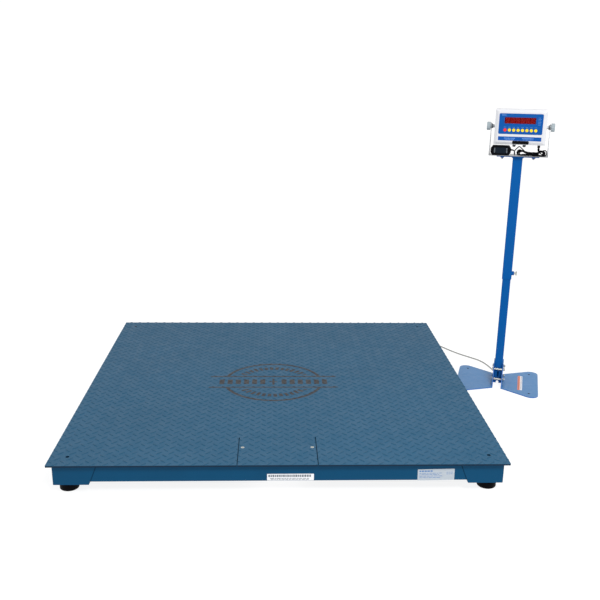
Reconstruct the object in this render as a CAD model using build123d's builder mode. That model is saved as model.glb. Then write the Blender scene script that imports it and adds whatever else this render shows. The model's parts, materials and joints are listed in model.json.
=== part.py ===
from build123d import *
import math
import os

# Floor scale: a steel weighing platform on four load cells, and a free-standing
# telescopic stand beside it that carries the weight indicator.
# Millimetres, +Z up, floor at z = 0, origin at the bottom centre of the whole set.

os.makedirs("parts", exist_ok=True)

# ---- driving dimensions -------------------------------------------------------

deck_side = 1524.0  # 60 inch square deck
deck_top = 112.0
deck_thick = 6.0
deck_under = deck_top - deck_thick
deck_corner = 3.0
lifting_hole_r = 6.5
overhang = 16.0
frame_half = deck_side / 2 - overhang
frame_wall = 5.0

channel_tall = 60.0
channel_flange = 30.0
channel_low = deck_under - channel_tall

pocket_top_reach = 146.0
pocket_low_reach = 118.0
pocket_low = 34.0
seam = 1.0

foot_x = 704.0
foot_y = 698.0
stem_r = 6.0
running = 0.05
pad_r = 32.0
pad_tall = 26.0

cell_long = 130.0
cell_side = 32.0
cell_low = 66.0
cell_tip = 19.0
cell_bolt_near = 76.2
cell_bolt_pitch = 25.4

cover_x = -8.0
cover_wide = 263.0
cover_deep = 204.0
cover_seam = 3.0
cover_rear_seam = 0.6
cover_screw_x = 119.0
cover_screw_y = -634.0
ledge_thick = 5.0

gland_x = 560.0
gland_z = 60.0
gland_out = 22.0

stand_dx = 997.0
stand_y = 243.0
stand_turn = 17.3

wing_thick = 4.0
wing_tip_x = 178.0
wing_tip_half = 182.0
wing_root_half = 87.5
wing_round = 32.0

tube_low = 35.0
tube_high = 40.0
tube_wall = 2.0
low_top = 760.0
high_bottom = 484.0
plate_low = 1008.0
plate_thick = 4.0
plate_top = plate_low + plate_thick
plate_wide = 172.0
plate_deep = 70.0
plate_bolt_x = 63.5

yoke_wide = 237.0
yoke_sheet = 2.0
yoke_deep = 84.0
tilt_z = 1129.0

box_wide = 206.0
box_tall = 141.0
box_front = -40.0
box_back = 38.0
box_wall = 1.5
bevel_run = 11.0
bevel_deep = 6.0

cable_r = 3.0
cord_r = 2.0

# the platform sits left of the set's centre, so that the wing tip and the deck
# edge are equally far from the origin
turn = math.radians(stand_turn)
wing_slope = (wing_tip_half - wing_root_half) / (wing_tip_x - tube_low / 2)
tip_half_angle = (math.pi / 2 - math.atan(wing_slope)) / 2
tip_centre_x = wing_tip_x - wing_round
tip_centre_y = wing_tip_half - wing_round / math.tan(tip_half_angle)
wing_reach = tip_centre_x * math.cos(turn) + tip_centre_y * math.sin(turn) + wing_round
platform_x = -(stand_dx + wing_reach - deck_side / 2) / 2

on_platform = Location((platform_x, 0, 0))
on_stand = Location((platform_x + stand_dx, stand_y, 0), (0, 0, -stand_turn))


def keep(piece, label, seat):
    """Put a finished piece in its place, name it and write it."""
    placed = seat * piece
    placed.label = label
    export_step(placed, f"parts/{label}.step")


# ---- platform: deck and access cover ------------------------------------------

def deck_plate():
    """Tread plate with a notch for the access cover and four lifting holes."""
    notch_wide = cover_wide + 2 * cover_seam
    notch_deep = cover_deep + cover_rear_seam
    with BuildPart() as deck:
        with BuildSketch(Plane.XY.offset(deck_under)):
            RectangleRounded(deck_side, deck_side, deck_corner)
            with Locations((cover_x, -deck_side / 2)):
                Rectangle(notch_wide, 2 * notch_deep, mode=Mode.SUBTRACT)
            with GridLocations(2 * foot_x, 2 * foot_y, 2, 2):
                Circle(lifting_hole_r, mode=Mode.SUBTRACT)
        extrude(amount=deck_thick)
    return deck.part


def access_cover():
    """Loose tread plate over the junction box, with two countersunk holes."""
    middle_y = -deck_side / 2 + cover_deep / 2
    with BuildPart() as cover:
        with BuildSketch(Plane.XY.offset(deck_under)):
            with Locations((cover_x, middle_y)):
                Rectangle(cover_wide, cover_deep)
        extrude(amount=deck_thick)
        for side in (-1, 1):
            with Locations((cover_x + side * cover_screw_x, cover_screw_y, deck_top)):
                CounterSinkHole(radius=3.3, counter_sink_radius=6.5, counter_sink_angle=90)
    return cover.part


def cover_screws():
    """Two M6 countersunk screws that stay in the cover."""
    sunk = 0.2
    head_r = 6.2
    head_deep = 3.1
    shank_r = 2.95
    shank_long = 13.0
    socket_r = 2.0
    with BuildPart() as screws:
        for side in (-1, 1):
            x = cover_x + side * cover_screw_x
            head_plane = Plane((x, cover_screw_y, deck_top - sunk))
            neck_plane = head_plane.offset(-head_deep)
            with BuildSketch(head_plane):
                Circle(head_r)
            with BuildSketch(neck_plane):
                Circle(shank_r)
            loft()
            with BuildSketch(neck_plane):
                Circle(shank_r)
            extrude(amount=-shank_long)
            with BuildSketch(head_plane):
                RegularPolygon(socket_r, 6)
            extrude(amount=-socket_r, mode=Mode.SUBTRACT)
    return screws.part


# ---- platform: frame ----------------------------------------------------------

def perimeter_channel():
    """Front channel: web outside, flanges inwards, ends cut along the pockets."""
    top_half = frame_half - pocket_top_reach - seam
    low_half = top_half + (pocket_top_reach - pocket_low_reach) * channel_tall / (deck_under - pocket_low)
    with BuildPart() as channel:
        with BuildSketch(Plane.XZ.offset(frame_half)):
            with BuildLine():
                Polyline(
                    (-top_half, deck_under),
                    (top_half, deck_under),
                    (low_half, channel_low),
                    (-low_half, channel_low),
                    close=True,
                )
            make_face()
        extrude(amount=-frame_wall)
        middle_y = -frame_half + channel_flange / 2
        for z in (deck_under - frame_wall / 2, channel_low + frame_wall / 2):
            with Locations((0, middle_y, z)):
                Box(2 * top_half, channel_flange, frame_wall)
    return channel.part


def rear_channel(blank):
    """The rear channel carries the cable gland."""
    with BuildPart() as rear:
        add(blank, rotation=(0, 0, 180))
        with Locations(Plane((gland_x, frame_half, gland_z), z_dir=(0, 1, 0))):
            Hole(6.2, depth=3 * frame_wall)
    return rear.part


def side_channels(blank):
    """Left and right channels."""
    with BuildPart() as sides:
        add(blank, rotation=(0, 0, 90))
        add(blank, rotation=(0, 0, -90))
    return sides.part


def underdeck_framing():
    """U ribs, cover ledges and load-cell blocks, all welded under the deck."""
    rib_wide = 60.0
    rib_tall = 50.0
    rib_wall = 3.0
    rib_pitch = 240.0
    rib_end = frame_half - channel_flange - seam
    short_rib_end = -deck_side / 2 + cover_deep + 36
    ledge_wide = 40.0
    ledge_long = 170.0
    ledge_y = -624.0
    block_long = 54.0
    block_wide = 34.0
    with BuildPart() as framing:
        for number in (-2, -1, 0, 1, 2):
            x = number * rib_pitch
            front_end = -rib_end if number else short_rib_end
            with BuildSketch(Plane.XZ.offset(-rib_end)):
                with Locations((x, deck_under - rib_tall / 2)):
                    Rectangle(rib_wide, rib_tall)
                with Locations((x, deck_under - rib_tall / 2 + rib_wall)):
                    Rectangle(rib_wide - 2 * rib_wall, rib_tall, mode=Mode.SUBTRACT)
            extrude(amount=rib_end - front_end)
        for side in (-1, 1):
            ledge_x = cover_x + side * cover_wide / 2
            with Locations((ledge_x, ledge_y, deck_under - ledge_thick / 2)):
                Box(ledge_wide, ledge_long, ledge_thick)
            with Locations((cover_x + side * cover_screw_x, cover_screw_y, deck_under)):
                Hole(3.0, depth=ledge_thick + 5)
        with Locations((cover_x, -deck_side / 2 + cover_deep, deck_under - ledge_thick / 2)):
            Box(cover_wide - ledge_wide - 2, ledge_wide, ledge_thick)
        block_x = foot_x - cell_bolt_near - cell_bolt_pitch / 2
        block_low = cell_low + cell_side
        for x in (-block_x, block_x):
            for y in (-foot_y, foot_y):
                with Locations((x, y, (block_low + deck_under) / 2)):
                    Box(block_long, block_wide, deck_under - block_low)
        with GridLocations(2 * block_x, 2 * foot_y, 2, 2):
            with GridLocations(cell_bolt_pitch, 1, 2, 1):
                Cylinder(stem_r + running, 2 * deck_top, mode=Mode.SUBTRACT)
    return framing.part


def corner_pockets():
    """Four folded corner pieces that house the load cells above the feet."""
    stem_hole_r = 22.0
    outer_round = 4.0
    with BuildPart() as pockets:
        for plane, flip in ((Plane.XZ.offset(frame_half), 1), (Plane.YZ.offset(frame_half), -1)):
            with BuildSketch(plane):
                with BuildLine():
                    Polyline(
                        (flip * frame_half, deck_under),
                        (flip * (frame_half - pocket_top_reach), deck_under),
                        (flip * (frame_half - pocket_low_reach), pocket_low),
                        (flip * frame_half, pocket_low),
                        close=True,
                    )
                make_face()
            extrude(amount=-frame_wall)
        middle = frame_half - pocket_low_reach / 2
        with Locations((middle, -middle, pocket_low + frame_wall / 2)):
            Box(pocket_low_reach, pocket_low_reach, frame_wall)
        with Locations((foot_x, -foot_y, pocket_low + frame_wall)):
            Hole(stem_hole_r, depth=2 * frame_wall)
        outer = pockets.edges().filter_by(Axis.Z).sort_by(Axis.X)[-1]
        fillet(outer, outer_round)
        mirror(about=Plane.YZ)
        mirror(about=Plane.XZ)
    return pockets.part


def load_cells():
    """Four shear-beam load cells; the free end takes the foot stem."""
    middle_x = foot_x + cell_tip - cell_long / 2
    middle_z = cell_low + cell_side / 2
    edge_round = 1.5
    bolt_hole_r = stem_r + 0.5
    recess_r = 9.0
    recess_deep = 10.0
    recess_back = 38.0
    with BuildPart() as cells:
        with GridLocations(2 * middle_x, 2 * foot_y, 2, 2):
            with Locations((0, 0, middle_z)):
                Box(cell_long, cell_side, cell_side)
        fillet(cells.edges().filter_by(Axis.X), edge_round)
        with GridLocations(2 * foot_x, 2 * foot_y, 2, 2):
            with Locations((0, 0, middle_z)):
                Cylinder(stem_r + running, 2 * cell_side, mode=Mode.SUBTRACT)
        with GridLocations(2 * (foot_x - cell_bolt_near - cell_bolt_pitch / 2), 2 * foot_y, 2, 2):
            with GridLocations(cell_bolt_pitch, 1, 2, 1):
                with Locations((0, 0, middle_z)):
                    Cylinder(bolt_hole_r, 2 * cell_side, mode=Mode.SUBTRACT)
        with GridLocations(2 * (foot_x - recess_back), 2 * foot_y, 2, 2):
            with Locations((0, cell_side / 2, middle_z), (0, -cell_side / 2, middle_z)):
                Cylinder(recess_r, 2 * recess_deep, rotation=(90, 0, 0), mode=Mode.SUBTRACT)
    return cells.part


def load_cell_bolts():
    """Eight M12 bolts from below through the load cells into the blocks."""
    block_x = foot_x - cell_bolt_near - cell_bolt_pitch / 2
    head_r = 9.0
    head_tall = 7.5
    with BuildPart() as bolts:
        with BuildSketch(Plane.XY.offset(cell_low - head_tall)):
            with GridLocations(2 * block_x, 2 * foot_y, 2, 2):
                with GridLocations(cell_bolt_pitch, 1, 2, 1):
                    RegularPolygon(head_r, 6, major_radius=False)
        extrude(amount=head_tall)
        with BuildSketch(Plane.XY.offset(cell_low)):
            with GridLocations(2 * block_x, 2 * foot_y, 2, 2):
                with GridLocations(cell_bolt_pitch, 1, 2, 1):
                    Circle(stem_r)
        extrude(amount=deck_under - cell_low)
    return bolts.part


# ---- platform: feet -----------------------------------------------------------

def foot_stem():
    """M12 levelling stem with a hexagon to turn it and a socket in its top."""
    bottom = 10.3
    top = 95.0
    hex_r = 9.5
    hex_tall = 6.5
    socket_r = 3.0
    socket_deep = 8.0
    with BuildPart() as stem:
        with BuildSketch(Plane.XY.offset(bottom)):
            Circle(stem_r)
        extrude(amount=top - bottom)
        with BuildSketch(Plane.XY.offset(pad_tall + 0.3)):
            RegularPolygon(hex_r, 6, major_radius=False)
        extrude(amount=hex_tall)
        chamfer(stem.edges().sort_by(Axis.Z)[0], 1)
        with BuildSketch(Plane.XY.offset(top)):
            RegularPolygon(socket_r, 6, major_radius=False)
        extrude(amount=-socket_deep, mode=Mode.SUBTRACT)
    return stem.part


def foot_pad():
    """Round rubber foot with a socket for the stem."""
    floor_round = 4.0
    top_chamfer = 3.0
    socket_deep = 16.0
    with BuildPart() as pad:
        Cylinder(pad_r, pad_tall, align=(Align.CENTER, Align.CENTER, Align.MIN))
        fillet(pad.edges().sort_by(Axis.Z)[0], floor_round)
        chamfer(pad.edges().sort_by(Axis.Z)[-1], top_chamfer)
        with Locations((0, 0, pad_tall)):
            Hole(stem_r + running, depth=socket_deep)
    return pad.part


# ---- platform: junction box ---------------------------------------------------

jbox_wide = 170.0
jbox_deep = 106.0
jbox_tall = 38.0
jbox_low = channel_low + frame_wall
jbox_y = -frame_half + frame_wall + 2 + jbox_deep / 2
jbox_wall = 1.5
jbox_corner = 4.0
jbox_lid = 2.0
jbox_screw_wide = jbox_wide - 16
jbox_screw_deep = jbox_deep - 16
jbox_screw_r = 1.95
board_thick = 1.6
jbox_gland_z = jbox_low + jbox_tall * 0.55
jbox_gland_planes = [
    Plane((cover_x + side * jbox_wide / 2, jbox_y + dy, jbox_gland_z), z_dir=(side, 0, 0))
    for side in (-1, 1)
    for dy in (-24, 24)
] + [Plane((cover_x, jbox_y + jbox_deep / 2, jbox_gland_z), z_dir=(0, 1, 0))]


def junction_box():
    """Open-topped sheet box standing on the front channel's lower flange."""
    with BuildPart() as box:
        with BuildSketch(Plane.XY.offset(jbox_low)):
            with Locations((cover_x, jbox_y)):
                RectangleRounded(jbox_wide, jbox_deep, jbox_corner)
        extrude(amount=jbox_tall)
        with BuildSketch(Plane.XY.offset(jbox_low + jbox_wall)):
            with Locations((cover_x, jbox_y)):
                RectangleRounded(
                    jbox_wide - 2 * jbox_wall, jbox_deep - 2 * jbox_wall, jbox_corner - jbox_wall
                )
        extrude(amount=jbox_tall, mode=Mode.SUBTRACT)
        with Locations((cover_x, jbox_y, jbox_low)):
            with GridLocations(jbox_screw_wide, jbox_screw_deep, 2, 2):
                with Locations((0, 0, jbox_wall)):
                    Cylinder(4, jbox_tall - jbox_wall, align=(Align.CENTER, Align.CENTER, Align.MIN))
                with Locations((0, 0, jbox_tall)):
                    Hole(jbox_screw_r, depth=14)
        for place in jbox_gland_planes:
            with Locations(place):
                Hole(5, depth=6)
    return box.part


def junction_box_lid():
    """Flat lid with four screw holes."""
    with BuildPart() as lid:
        with BuildSketch(Plane.XY.offset(jbox_low + jbox_tall)):
            with Locations((cover_x, jbox_y)):
                RectangleRounded(jbox_wide + 2, jbox_deep + 2, jbox_corner)
                with GridLocations(jbox_screw_wide, jbox_screw_deep, 2, 2):
                    Circle(jbox_screw_r + 0.35, mode=Mode.SUBTRACT)
        extrude(amount=jbox_lid)
    return lid.part


def junction_box_screws():
    """Four M4 pan-head lid screws."""
    head_low = jbox_low + jbox_tall + jbox_lid
    with BuildPart() as screws:
        for radius, amount in ((3.8, 2.6), (jbox_screw_r - running, -12)):
            with BuildSketch(Plane.XY.offset(head_low)):
                with Locations((cover_x, jbox_y)):
                    with GridLocations(jbox_screw_wide, jbox_screw_deep, 2, 2):
                        Circle(radius)
            extrude(amount=amount)
    return screws.part


def junction_board():
    """Summing board with five terminal blocks and four trimmers."""
    standoff = 8.0
    on_top = (Align.CENTER, Align.CENTER, Align.MIN)
    below = (Align.CENTER, Align.CENTER, Align.MAX)
    with BuildPart() as board:
        with Locations((cover_x, jbox_y, jbox_low + standoff)):
            Box(128, 74, board_thick, align=on_top)
            with Locations((0, 0, board_thick)):
                with GridLocations(24, 52, 5, 2):
                    Box(18, 9, 9, align=on_top)
                with GridLocations(26, 1, 4, 1):
                    Box(9, 6, 7, align=on_top)
            with GridLocations(110, 60, 2, 2):
                Cylinder(2.5, standoff - jbox_wall, align=below)
    return board.part


def gland(radius, out, inside):
    """Cable gland along +Z: hexagon and dome outside z = 0, thread inside."""
    with BuildPart() as body:
        with BuildSketch():
            RegularPolygon(radius, 6, major_radius=False)
        extrude(amount=out * 0.35)
        with BuildSketch(Plane.XY.offset(out * 0.35)):
            Circle(radius * 0.92)
        extrude(amount=out * 0.65)
        fillet(body.edges().sort_by(Axis.Z)[-1], radius * 0.35)
        with BuildSketch():
            Circle(radius * 0.62)
        extrude(amount=-inside)
    return body.part


def junction_box_glands():
    """Two glands on each end for the load cells and one behind for the output."""
    with BuildPart() as glands:
        for place in jbox_gland_planes:
            with Locations(place):
                add(gland(8, 18, jbox_wall))
    return glands.part


def platform_gland():
    """Gland where the signal cable leaves the rear channel."""
    nut_r = 9.0
    nut_thick = 5.0
    with BuildPart() as body:
        with Locations(Plane((gland_x, frame_half, gland_z), z_dir=(0, 1, 0))):
            add(gland(nut_r, gland_out, frame_wall))
        with BuildSketch(Plane((gland_x, frame_half - frame_wall, gland_z), z_dir=(0, -1, 0))):
            RegularPolygon(nut_r, 6, major_radius=False, rotation=30)
        extrude(amount=nut_thick)
    return body.part


# ---- stand: base wings and posts ----------------------------------------------

bolt_y = 23.5
bolt_heights = (21.0, 68.0)
m8_r = 4.0
m8_hole_r = 4.3
m8_nut_r = 6.5
flange_half = 32.0
flange_shoulder = 78.0
flange_top = 98.0
arch_r = 5.6
cable_in_z = 5.5
anchor_x = 139.0
anchor_y = 118.0


def wing(side):
    """Folded base plate: a flat fan with a flange up the post's side."""
    root = tube_low / 2
    with BuildPart() as plate:
        with BuildSketch():
            with BuildLine():
                Polyline(
                    (side * root, -wing_root_half),
                    (side * wing_tip_x, -wing_tip_half),
                    (side * wing_tip_x, wing_tip_half),
                    (side * root, wing_root_half),
                    close=True,
                )
            outline = make_face()
            tips = outline.vertices().group_by(SortBy.DISTANCE)[-1]
            fillet(tips, wing_round)
            with Locations((side * anchor_x, -anchor_y), (side * anchor_x, anchor_y)):
                Circle(4.5, mode=Mode.SUBTRACT)
        extrude(amount=wing_thick)
        with BuildSketch(Plane.YZ.offset(side * root)):
            with BuildLine():
                Polyline(
                    (-wing_root_half, 0),
                    (-flange_half, flange_shoulder),
                    (-flange_half, flange_top),
                    (flange_half, flange_top),
                    (flange_half, flange_shoulder),
                    (wing_root_half, 0),
                    close=True,
                )
            make_face()
            for z in bolt_heights:
                with Locations((-bolt_y, z), (bolt_y, z)):
                    Circle(m8_hole_r, mode=Mode.SUBTRACT)
        extrude(amount=side * wing_thick)
    return plate.part


def square_tube(width, wall, low, high):
    """Square tube with rounded corners, standing on z = low."""
    with BuildPart() as tube:
        with BuildSketch(Plane.XY.offset(low)):
            RectangleRounded(width, width, 3)
            RectangleRounded(width - 2 * wall, width - 2 * wall, 1.5, mode=Mode.SUBTRACT)
        extrude(amount=high - low)
    return tube.part


def lower_post():
    """Inner tube, with cable arches at its foot and a slot in front."""
    with BuildPart() as post:
        add(square_tube(tube_low, tube_wall, 0, low_top))
        with BuildSketch(Plane.XZ.offset(-tube_low)):
            with Locations((0, cable_in_z)):
                Circle(arch_r)
            with Locations((0, cable_in_z / 2)):
                Rectangle(2 * arch_r, cable_in_z)
        extrude(amount=2 * tube_low, mode=Mode.SUBTRACT)
        with BuildSketch(Plane.XZ.offset(tube_low)):
            with Locations((0, 42.5)):
                SlotCenterToCenter(20, 7, rotation=90)
        extrude(amount=-tube_low, mode=Mode.SUBTRACT)
    return post.part


def base_bolts():
    """Four M8 bolts and nuts that draw the wing flanges onto the post."""
    out = tube_low / 2 + wing_thick
    with BuildPart() as bolts:
        for z in bolt_heights:
            for y in (-bolt_y, bolt_y):
                head = Plane((-out, y, z), z_dir=(-1, 0, 0))
                with BuildSketch(head):
                    RegularPolygon(m8_nut_r, 6, major_radius=False)
                extrude(amount=5.3)
                with BuildSketch(head):
                    Circle(m8_r)
                extrude(amount=-(2 * out + 9))
                with BuildSketch(Plane((out, y, z), z_dir=(1, 0, 0))):
                    RegularPolygon(m8_nut_r, 6, major_radius=False)
                extrude(amount=6.5)
    return bolts.part


def cable_grommet():
    """Rubber plug in the rear arch where the cable enters the post."""
    with BuildPart() as grommet:
        with BuildSketch(Plane.XZ.offset(-(tube_low / 2 + 4))):
            with Locations((0, cable_in_z)):
                Circle(arch_r - 0.2)
        extrude(amount=8)
    return grommet.part


clamp_z = 508.0
clamp_r = 5.0
clamp_boss_r = 9.0
clamp_boss_out = 9.0
cable_hole_r = 13.0


def upper_post():
    """Outer tube with its top plate, weld collar and clamp boss."""
    with BuildPart() as post:
        add(square_tube(tube_high, tube_wall, high_bottom, plate_low))
        with BuildSketch(Plane.XY.offset(plate_low)):
            RectangleRounded(plate_wide, plate_deep, 6)
            Circle(cable_hole_r, mode=Mode.SUBTRACT)
            with Locations((-plate_bolt_x, 0), (plate_bolt_x, 0)):
                Circle(m8_hole_r, mode=Mode.SUBTRACT)
        extrude(amount=plate_thick)
        with BuildSketch(Plane.XY.offset(plate_low)):
            Rectangle(tube_high + 10, tube_high + 10)
            Rectangle(tube_high - 1, tube_high - 1, mode=Mode.SUBTRACT)
        extrude(amount=-5, taper=30)
        with BuildSketch(Plane((tube_high / 2 - 0.5, 0, clamp_z), z_dir=(1, 0, 0))):
            Circle(clamp_boss_r)
        extrude(amount=clamp_boss_out + 0.5)
        with BuildSketch(Plane((tube_high / 2 + clamp_boss_out + 3, 0, clamp_z), z_dir=(1, 0, 0))):
            Circle(clamp_r + running)
        extrude(amount=-2 * clamp_boss_out, mode=Mode.SUBTRACT)
    return post.part


def clamp_screw():
    """M10 hexagon screw that locks the outer tube on the inner one."""
    tip = tube_low / 2 + 0.3
    shank = 17.0
    with BuildPart() as screw:
        with BuildSketch(Plane((tip, 0, clamp_z), z_dir=(1, 0, 0))):
            Circle(clamp_r)
        extrude(amount=shank + 1)
        with BuildSketch(Plane((tip + shank, 0, clamp_z), z_dir=(1, 0, 0))):
            RegularPolygon(8, 6, major_radius=False)
        extrude(amount=6.5)
    return screw.part


# ---- stand: yoke --------------------------------------------------------------

def yoke():
    """Stainless U bracket: base on the top plate, two tapering arms."""
    half = yoke_wide / 2
    base_top = plate_top + yoke_sheet
    shoulder_z = base_top + 14
    tip_r = 15.0
    with BuildPart() as bracket:
        with BuildSketch(Plane.XY.offset(plate_top)):
            Rectangle(yoke_wide, yoke_deep)
            Circle(cable_hole_r, mode=Mode.SUBTRACT)
            with Locations((-plate_bolt_x, 0), (plate_bolt_x, 0)):
                Circle(m8_hole_r, mode=Mode.SUBTRACT)
        extrude(amount=yoke_sheet)
        for side in (-1, 1):
            with BuildSketch(Plane.YZ.offset(side * half)):
                with BuildLine():
                    left = Line((-yoke_deep / 2, plate_top), (-yoke_deep / 2, shoulder_z))
                    slope = Line(left @ 1, (-tip_r, tilt_z - 8))
                    up = Line(slope @ 1, (-tip_r, tilt_z))
                    cap = RadiusArc(up @ 1, (tip_r, tilt_z), tip_r)
                    down = Line(cap @ 1, (tip_r, tilt_z - 8))
                    back = Line(down @ 1, (yoke_deep / 2, shoulder_z))
                    right = Line(back @ 1, (yoke_deep / 2, plate_top))
                    Line(right @ 1, left @ 0)
                make_face()
                with Locations((0, tilt_z)):
                    Circle(m8_hole_r, mode=Mode.SUBTRACT)
            extrude(amount=-side * yoke_sheet)
    return bracket.part


def yoke_bolts():
    """Two M8 bolts and nuts through the yoke base and the top plate."""
    with BuildPart() as bolts:
        top = plate_top + yoke_sheet
        for x in (-plate_bolt_x, plate_bolt_x):
            with BuildSketch(Plane.XY.offset(top)):
                with Locations((x, 0)):
                    Circle(7.5)
            extrude(amount=4)
            with BuildSketch(Plane.XY.offset(top)):
                with Locations((x, 0)):
                    Circle(m8_r)
            extrude(amount=-18)
            with BuildSketch(Plane.XY.offset(plate_low)):
                with Locations((x, 0)):
                    RegularPolygon(m8_nut_r, 6, major_radius=False)
            extrude(amount=-6.5)
        fillet(bolts.edges().group_by(Axis.Z)[-1], 1.5)
    return bolts.part


# ---- indicator ----------------------------------------------------------------

box_low = tilt_z - box_tall / 2
overlay_z = 1142.0
overlay_wide = 174.0
overlay_tall = 82.0
overlay_thick = 0.8
window_x = -3.0
window_z = 1155.5
window_wide = 124.0
window_tall = 25.0
key_pitch = 17.4
key_z = 1117.0
key_r = 6.2
jack_x = 80.0
jack_y = 20.0
jack_low = box_low - 3
gland_spots = ((21.0, 20.0), (-20.0, 20.0))
gland_hole_r = 4.4
shell_corner = 3.0
key_gap = 0.3
rear_screw_wide = box_wide - 22
rear_screw_tall = box_tall - 22
board_y = -box_front - 13


def key_x(number):
    """Place of a key along the row, counted from 0 at the left."""
    return (number - 3.5) * key_pitch


def indicator_housing():
    """Sheet shell, open behind, with a bevelled front and its openings."""
    with BuildPart() as shell:
        with BuildSketch(Plane.XZ.offset(-box_back)):
            with Locations((0, tilt_z)):
                RectangleRounded(box_wide, box_tall, shell_corner)
        extrude(amount=box_back - box_front - bevel_deep)
        bevel_plane = Plane.XZ.offset(-box_front - bevel_deep)
        with BuildSketch(bevel_plane):
            with Locations((0, tilt_z)):
                RectangleRounded(box_wide, box_tall, shell_corner)
        with BuildSketch(Plane.XZ.offset(-box_front)):
            with Locations((0, tilt_z)):
                RectangleRounded(
                    box_wide - 2 * bevel_run, box_tall - 2 * bevel_run, shell_corner
                )
        loft()
        with BuildSketch(Plane.XZ.offset(-box_back)):
            with Locations((0, tilt_z)):
                Rectangle(box_wide - 2 * box_wall, box_tall - 2 * box_wall)
        extrude(amount=box_back - box_front - bevel_deep - box_wall, mode=Mode.SUBTRACT)
        with BuildSketch(Plane.XZ.offset(-box_back)):
            with Locations((0, tilt_z)):
                Rectangle(box_wide - 2 * bevel_run - 6, box_tall - 2 * bevel_run - 6)
        extrude(amount=box_back - box_front - 2, mode=Mode.SUBTRACT)
        with BuildSketch(Plane.XZ.offset(-box_front)):
            with Locations((window_x, window_z)):
                Rectangle(window_wide, window_tall)
            with Locations(*[(key_x(number), key_z) for number in range(8)]):
                Circle(key_r + key_gap)
        extrude(amount=-8, mode=Mode.SUBTRACT)
        for side in (-1, 1):
            with BuildSketch(Plane.YZ.offset(side * box_wide / 2)):
                with Locations((0, tilt_z)):
                    Circle(m8_r + running)
            extrude(amount=-side * 4, mode=Mode.SUBTRACT)
        with BuildSketch(Plane.XY.offset(box_low)):
            with Locations(*gland_spots):
                Circle(gland_hole_r)
            with Locations((jack_x, jack_y)):
                Circle(6)
        extrude(amount=4, mode=Mode.SUBTRACT)
    return shell.part


def rear_cover():
    """Back plate with a shallow rim that sits inside the shell."""
    with BuildPart() as cover:
        with BuildSketch(Plane.XZ.offset(-box_back)):
            with Locations((0, tilt_z)):
                RectangleRounded(box_wide, box_tall, shell_corner)
        extrude(amount=-box_wall)
        with BuildSketch(Plane.XZ.offset(-box_back)):
            with Locations((0, tilt_z)):
                Rectangle(box_wide - 2 * box_wall - 0.4, box_tall - 2 * box_wall - 0.4)
                Rectangle(box_wide - 4 * box_wall, box_tall - 4 * box_wall, mode=Mode.SUBTRACT)
        extrude(amount=4)
        with BuildSketch(Plane.XZ.offset(-box_back - box_wall)):
            with Locations((0, tilt_z)):
                with GridLocations(rear_screw_wide, rear_screw_tall, 2, 2):
                    Circle(2.1)
        extrude(amount=4, mode=Mode.SUBTRACT)
    return cover.part


def rear_cover_screws():
    """Four M4 pan-head screws."""
    with BuildPart() as screws:
        outside = Plane.XZ.offset(-box_back - box_wall)
        for radius, amount in ((3.8, -2.4), (1.95, 8)):
            with BuildSketch(outside):
                with Locations((0, tilt_z)):
                    with GridLocations(rear_screw_wide, rear_screw_tall, 2, 2):
                        Circle(radius)
            extrude(amount=amount)
    return screws.part


def key_overlay():
    """Printed membrane panel, open at the display window and at the keys."""
    with BuildPart() as overlay:
        with BuildSketch(Plane.XZ.offset(-box_front)):
            with Locations((0, overlay_z)):
                RectangleRounded(overlay_wide, overlay_tall, 5)
            with Locations((window_x, window_z)):
                Rectangle(window_wide, window_tall, mode=Mode.SUBTRACT)
            with Locations(*[(key_x(number), key_z) for number in range(8)]):
                Circle(key_r + key_gap, mode=Mode.SUBTRACT)
        extrude(amount=overlay_thick)
    return overlay.part


def display_window():
    """Tinted filter that fills the window flush with the overlay."""
    with BuildPart() as window:
        with BuildSketch(Plane.XZ.offset(-box_front + overlay_thick - 0.1)):
            with Locations((window_x, window_z)):
                Rectangle(window_wide - 0.1, window_tall - 0.1)
        extrude(amount=-2.6)
    return window.part


def display_board():
    """Circuit board with six seven-segment modules behind the window."""
    with BuildPart() as board:
        with BuildSketch(Plane.XZ.offset(board_y)):
            with Locations((window_x, window_z)):
                Rectangle(136, 42)
        extrude(amount=-board_thick)
        with BuildSketch(Plane.XZ.offset(board_y)):
            with Locations((window_x, window_z)):
                with GridLocations(19.6, 1, 6, 1):
                    Rectangle(18.4, 23)
        extrude(amount=9)
    return board.part


def key_button(number):
    """Round key that presses straight in."""
    with BuildPart() as key:
        with BuildSketch(Plane.XZ.offset(-box_front + overlay_thick + 0.7)):
            with Locations((key_x(number), key_z)):
                Circle(key_r)
        extrude(amount=-3)
        fillet(key.edges().sort_by(Axis.Y)[0], 0.5)
    return key.part


def main_board():
    """Main circuit board with a few tall parts on its back."""
    front = Plane.XZ.offset(14)
    with BuildPart() as board:
        with BuildSketch(front):
            with Locations((0, tilt_z + 2)):
                Rectangle(170, 112)
        extrude(amount=-board_thick)
        with BuildSketch(front.offset(-board_thick)):
            with Locations((-62, 1165), (-30, 1168), (40, 1166)):
                Rectangle(22, 22)
            with Locations((72, 1160), (72, 1140)):
                Circle(6)
        extrude(amount=-11)
    return board.part


def battery():
    """Sealed back-up battery on the housing floor."""
    with BuildPart() as pack:
        with Locations((0, 11, box_low + box_wall + 0.5)):
            Box(107, 42, 70, align=(Align.CENTER, Align.CENTER, Align.MIN))
        fillet(pack.edges().filter_by(Axis.Z), 2)
    return pack.part


def indicator_glands():
    """Two cable glands under the housing."""
    with BuildPart() as glands:
        for spot in gland_spots:
            with Locations(Plane((*spot, box_low), z_dir=(0, 0, -1))):
                add(gland(7, 13, box_wall))
    return glands.part


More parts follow.
